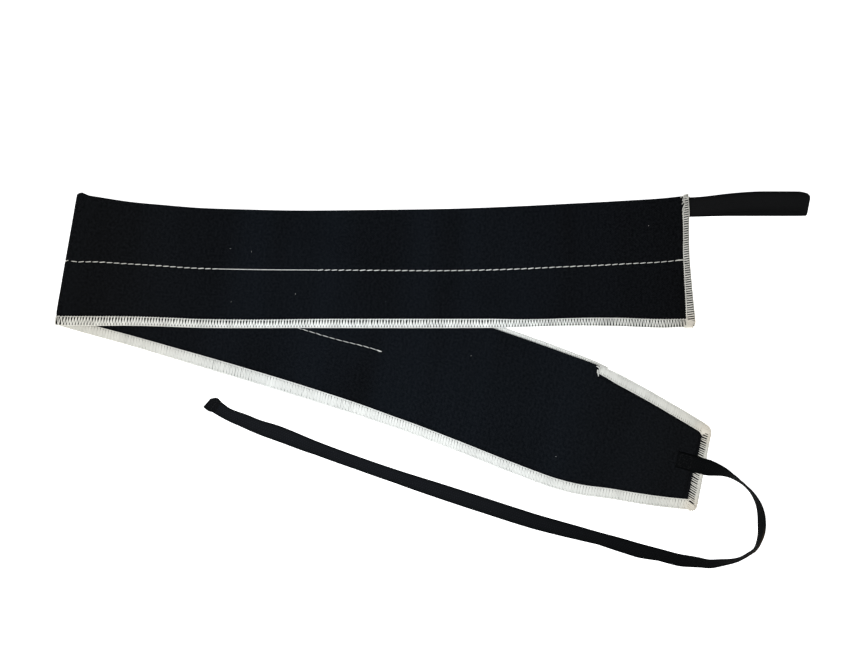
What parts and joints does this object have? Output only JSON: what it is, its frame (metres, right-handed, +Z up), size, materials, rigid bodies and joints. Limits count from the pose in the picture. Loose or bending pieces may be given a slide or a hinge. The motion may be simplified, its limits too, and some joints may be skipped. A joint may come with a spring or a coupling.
{
  "type": "wrist wrap",
  "caption": "Black cloth wrist wrap for lifting, laid flat and folded back on itself, with white thread edging, a thumb loop and a long tie tape.",
  "frame": {"origin": "middle of the wrap's footprint on the floor, measured without the free tie tape", "axes": "+X from the left fold towards the square end and its thumb loop, along the top run; +Z up out of the floor it lies on; +Y from the tip towards the thumb loop's side"},
  "size_m": [0.4404, 0.2179, 0.0095],
  "materials": {
    "black_cloth": "matte",
    "white_thread": "matte",
    "black_tape": "matte"
  },
  "bodies": {
    "root": {"wrap_band": "black_cloth", "overlock_long_edge": "white_thread", "overlock_square_end": "white_thread", "overlock_tip": "white_thread", "thumb_loop": "black_tape", "tie_anchor": "black_tape", "tie_tape": "black_tape", "tie_end_hem": "black_tape"}
  },
  "joints": []
}
